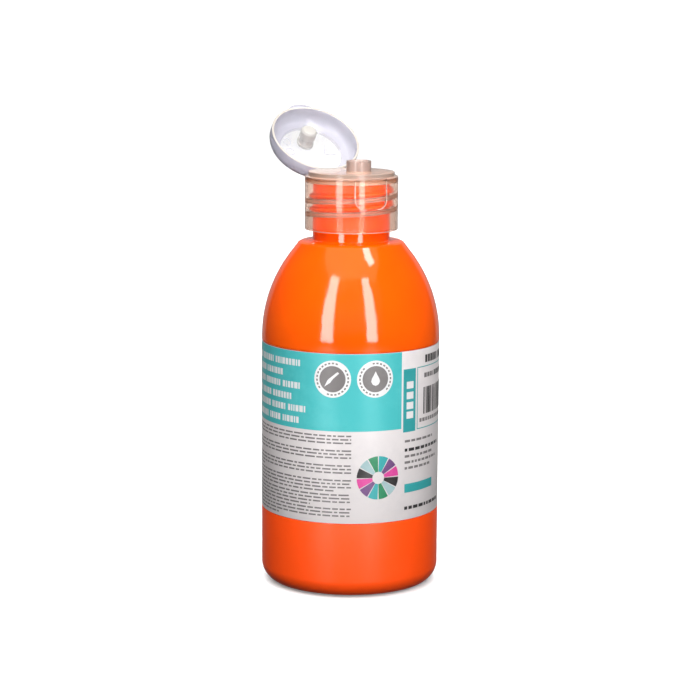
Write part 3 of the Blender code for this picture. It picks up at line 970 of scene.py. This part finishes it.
def artwork():
    """Every ink on the label: plain bars, blocks, rings and a colour wheel, with no lettering."""
    chance = random.Random(11)
    ink = {name: bmesh.new() for name in INKS}
    top, bottom = LABEL_HIGH.z, LABEL_LOW.z
    seam_left = 90.0 + LABEL_SEAM_HALF - ART_MIDDLE - 360.0
    seam_right = 90.0 - LABEL_SEAM_HALF - ART_MIDDLE
    margin = 0.06 * MM

    # Instructions side: band with six lines of bold blocks and two round marks
    bar(ink["teal"], seam_left + 0.3, BAND_RIGHT, BAND_LOW, top - margin, 1)
    bold_lines = ((76.95, -33.4), (73.3, -46.8), (69.55, -33.4), (65.8, -40.3), (62.1, -28.8), (58.35, -34.1))
    for z, end in bold_lines:
        blocks(ink["white"], -97.0, end, z * MM, 2.05 * MM, 2, chance)
    for degrees, tilt in ((-11.3, 70.0), (15.9, -45.0)):
        centre = 72.55 * MM
        ring(ink["white"], degrees, centre, 4.1 * MM, 6.0 * MM, 2)
        ring(ink["grey"], degrees, centre, 0.02 * MM, 4.25 * MM, 3)
        for k in range(26):
            start = 360 * k / 26 + tilt
            if k % 13 < 11:
                ring(ink["grey"], degrees, centre, 4.85 * MM, 5.35 * MM, 3, start, start + 8)
    drop = [(0, 2.7), (0.55, 1.5), (1.25, 0.3), (1.45, -0.6), (1.0, -1.6), (0, -2.0)]
    drop += [(-x, y) for x, y in drop[-2:0:-1]]
    blob(ink["white"], 15.9, 72.4 * MM, [(x * MM, y * MM) for x, y in drop], 4)
    brush = [(2.2, 1.9), (1.7, 2.4), (-0.5, 0.6), (-1.5, -0.2), (-2.6, -2.5), (-0.7, -1.2), (0.1, 0.0)]
    blob(ink["white"], -11.3, 72.55 * MM, [(x * MM, y * MM) for x, y in brush], 4)

    # Upright tag with plain blocks, outlined box with upright bars, heavy line above it
    bar(ink["deep_teal"], 35.6, 46.0, 54.3 * MM, 74.9 * MM, 1)
    for z in (69.6, 66.2, 62.9, 59.8):
        bar(ink["white"], 38.2, 43.9, (z - 1.15) * MM, (z + 1.15) * MM, 2)
    frame_bar(ink["deep_teal"], 47.4, 97.0, 54.6 * MM, 75.0 * MM, 0.3 * MM, 1)
    at = 54.0
    while at < 92.0:
        width = chance.choice((0.22, 0.4, 0.6, 0.85)) * MM
        bar(ink["black"], at, at + across(width), 59.2 * MM, 68.0 * MM, 1)
        at += across(width + chance.choice((0.22, 0.35, 0.55)) * MM)
    words(ink["grey"], 50.0, 92.0, 57.4 * MM, 1.2 * MM, 1, chance, 1.6, 0.4)
    words(ink["grey"], 54.6, 66.0, 71.9 * MM, 1.5 * MM, 1, chance, 1.6, 0.35)
    blocks(ink["black"], 68.0, 92.0, 71.9 * MM, 1.7 * MM, 1, chance)
    blocks(ink["black"], 55.5, 90.0, 77.3 * MM, 2.5 * MM, 1, chance)

    # Small print in six paragraphs
    paragraphs = ((54.1, 3, 0), (49.3, 3, 0), (44.4, 4, -72), (39.6, 4, -9), (34.8, 4, -26), (30.2, 4, -52))
    for first, lines, last_end in paragraphs:
        for k in range(lines):
            end = 0.8 if k < 3 else last_end
            words(ink["grey"], -90.0, end, (first - 1.14 * k) * MM, 0.50 * MM, 1, chance)

    # Plain colour wheel
    wheel = ("pink", "plum", "deep_teal", "green", "mist", "black")
    for k in range(12):
        ring(ink[wheel[k % 6]], 18.2, 40.3 * MM, 2.0 * MM, 7.1 * MM, 1, 30 * k + 1.5, 30 * k + 28.5)

    # Right of the wheel: address lines, a plain teal tab with a heavy line, one more line
    for z, end, height, name in (
        (51.3, 66.0, 0.75, "grey"),
        (48.4, 76.0, 1.0, "black"),
        (46.3, 67.0, 0.8, "grey"),
        (44.3, 73.0, 0.8, "grey"),
        (42.4, 64.0, 0.8, "grey"),
        (29.2, 78.0, 1.05, "black"),
    ):
        words(ink[name], 37.1, end, z * MM, height * MM, 1, chance, 2.6)
    bar(ink["deep_teal"], 37.1, 66.0, 34.3 * MM, 37.2 * MM, 1)

    # Front panel, on the far side from the instructions, in the same style
    bar(ink["teal"], 104.0, seam_right - 0.3, BAND_LOW, top - margin, 1)
    for z, right, height in ((74.5, 178.0, 3.4), (68.6, 160.0, 3.4), (61.5, 170.0, 1.6)):
        blocks(ink["white"], 112.0, right, z * MM, height * MM, 2, chance)
    ring(ink["deep_teal"], 125.0, 41.0 * MM, 6.4 * MM, 7.2 * MM, 1)
    ring(ink["mist"], 125.0, 41.0 * MM, 0.02 * MM, 5.6 * MM, 1)
    for k in range(6):
        words(ink["grey"], 146.0, 196.0, (46.5 - 2.1 * k) * MM, 0.8 * MM, 1, chance)
    bar(ink["deep_teal"], 104.0, seam_right - 0.3, bottom + 1.6 * MM, bottom + 2.6 * MM, 1)
    return ink


def make_label():
    inner, outer = BODY_RADIUS - 0.15 * MM, BODY_RADIUS
    low, high = LABEL_LOW.z, LABEL_HIGH.z
    rounding = 0.04 * MM
    start = 90 + LABEL_SEAM_HALF
    columns = 190
    corners = ((inner, high), (outer, high), (outer, low), (inner, low))
    profile = rounded([(r, z, rounding) for r, z in corners], 2)
    shape = bmesh.new()
    rings = []
    for i in range(columns + 1):
        angle = math.radians(start + (360 - 2 * LABEL_SEAM_HALF) * i / columns)
        points = [(p[0] * math.cos(angle), p[0] * math.sin(angle), p[1]) for p in profile]
        rings.append([shape.verts.new(point) for point in points])
    for one, two in zip(rings, rings[1:]):
        for k in range(len(one)):
            n = (k + 1) % len(one)
            shape.faces.new((one[k], one[n], two[n], two[k]))
    shape.faces.new(rings[0])
    shape.faces.new(rings[-1][::-1])
    made = piece("label_film", shape)
    white_film = film("label_film_white", (0.735, 0.69, 0.69), (0.69, 0.65, 0.655))
    settle(made, "bottle", ["label"], white_film)
    for name, shape in artwork().items():
        print_on = piece(f"ink_{name}", shape, 60)
        outward = print_on.data.polygons[0]
        if Vector(outward.center).xy.dot(Vector(outward.normal).xy) < 0:
            print_on.data.flip_normals()
        step = print_on.modifiers.new("thickness", "SOLIDIFY")
        step.thickness = 0.02 * MM
        step.offset = -1
        apply(print_on)
        soften(print_on, 50)
        settle(print_on, "bottle", [], film(f"ink_{name}_finish", *INKS[name]))


# ---------------------------------------------------------------- stage


TARGET = (0, 0, 0.09)


def aim(obj, place, target):
    obj.location = place
    obj.rotation_mode = "QUATERNION"
    obj.rotation_quaternion = (Vector(target) - Vector(place)).to_track_quat("-Z", "Y")


def softbox(name, azimuth, elevation, distance, size, radiance, target=TARGET, shows=True, lights=True):
    """An area light. Azimuth counts from the camera's side, positive to its right.

    radiance is how brightly it shines, shows is whether gloss reflects it, and lights is whether it
    lights matt surfaces.
    """
    data = bpy.data.lights.new(name, "AREA")
    data.shape = "RECTANGLE"
    data.size, data.size_y = size
    data.energy = radiance * math.pi * size[0] * size[1]
    obj = bpy.data.objects.new(name, data)
    bpy.context.scene.collection.objects.link(obj)
    angle = math.radians(ART_MIDDLE + azimuth)
    rise = math.radians(elevation)
    target = Vector(target)
    direction = Vector((math.cos(angle) * math.cos(rise), math.sin(angle) * math.cos(rise), math.sin(rise)))
    aim(obj, target + direction * distance, target)
    obj.visible_camera = False
    obj.visible_glossy = shows
    obj.visible_diffuse = lights
    return obj


def make_camera():
    data = bpy.data.cameras.new("camera")
    data.sensor_width = 36.0
    data.lens = 115.4
    data.clip_start, data.clip_end = 0.01, 200.0
    obj = bpy.data.objects.new("camera", data)
    bpy.context.scene.collection.objects.link(obj)
    obj.location = (-0.3224, -0.6552, 0.2025)
    heading, down, roll = math.radians(-26.186), math.radians(9.746), math.radians(0.34)
    turn = Matrix.Rotation(heading, 4, "Z") @ Matrix.Rotation(math.radians(90) - down, 4, "X")
    obj.rotation_mode = "QUATERNION"
    obj.rotation_quaternion = (turn @ Matrix.Rotation(roll, 4, "Z")).to_quaternion()
    bpy.context.scene.camera = obj


def put_on_stage(made, material):
    """A stage surface is seen, but neither lights the object nor shows in its gloss."""
    made.data.materials.append(material)
    made.visible_glossy = False
    made.visible_diffuse = False


def make_floor():
    shape = bmesh.new()
    bmesh.ops.create_grid(shape, x_segments=8, y_segments=8, size=60.0)
    pale = stage_material("pale_floor", (0.84, 0.84, 0.84), (0.81, 0.81, 0.81), 0.2)
    put_on_stage(piece("floor", shape), pale)


def make_backdrop():
    """The floor's rise into a wall, all round and far enough away to clear every camera."""
    near, steepness = 2.0, 0.12
    shape = bmesh.new()
    bmesh.ops.create_grid(shape, x_segments=60, y_segments=60, size=7.0)
    inner = [vert for vert in shape.verts if vert.co.xy.length < near]
    bmesh.ops.delete(shape, geom=inner, context="VERTS")
    for vert in shape.verts:
        vert.co.z = steepness * (vert.co.xy.length - near) ** 2
    made = piece("backdrop", shape)
    made.visible_shadow = False
    put_on_stage(made, stage_material("pale_backdrop", (0.30, 0.30, 0.30), (0.27, 0.27, 0.27), 0.9))


def make_lights():
    world = bpy.data.worlds.new("studio")
    bpy.context.scene.world = world
    world.use_nodes = True
    tree = world.node_tree
    direction = tree.nodes.new("ShaderNodeTexCoord").outputs["Generated"]
    camera_side = Vector((math.cos(math.radians(ART_MIDDLE)), math.sin(math.radians(ART_MIDDLE)), 0.0))
    toward_camera = vector_maths(tree, "DOT_PRODUCT", direction, camera_side)["Value"]
    level = spread(tree, toward_camera, -0.84, -0.78, 0.36, 0.06)
    background = tree.nodes["Background"]
    background.inputs["Color"].default_value = (1, 1, 1, 1)
    tree.links.new(level, background.inputs["Strength"])

    sun_data = bpy.data.lights.new("overhead", "SUN")
    sun_data.energy = 3.1
    sun_data.angle = math.radians(70)
    sun = bpy.data.objects.new("overhead", sun_data)
    bpy.context.scene.collection.objects.link(sun)
    angle = math.radians(ART_MIDDLE - 20)
    aim(sun, Vector((math.cos(angle), math.sin(angle), 3.0)), (0, 0, 0))
    sun.visible_glossy = False
    sun.visible_camera = False

    for name, azimuth, width in (("left_strip", -29.65, 0.125), ("right_strip", 26.5, 0.109)):
        softbox(name, azimuth, 0, 0.461, (width, 0.553), 13.0, target=(0, 0, 0.3375), lights=False)
        softbox(f"{name}_foot", azimuth, 0, 0.461, (width, 0.15), 4.0, target=(0, 0, -0.08), lights=False)
    softbox("front_fill", 12, 28, 1.2, (1.2, 1.0), 5.1, shows=False)
    softbox("back_fill", 180, 38, 1.2, (1.2, 1.0), 3.6, shows=False)
    softbox("top_patch", 53, 63, 0.55, (0.09, 0.15), 16.0, target=(0, 0, 0.11), lights=False)
    ceiling = softbox("ceiling", 4, 84, 0.6, (0.8, 0.85), 1.4, target=(0, 0, 0.1), lights=False)
    ceiling.data.color = (1.0, 0.9, 0.5)


bpy.context.scene.view_settings.view_transform = "Standard"
make_camera()
make_floor()
make_backdrop()
make_lights()
make_bottle()
make_paint()
make_washer()
make_closure()
make_lid()
make_web()
make_label()
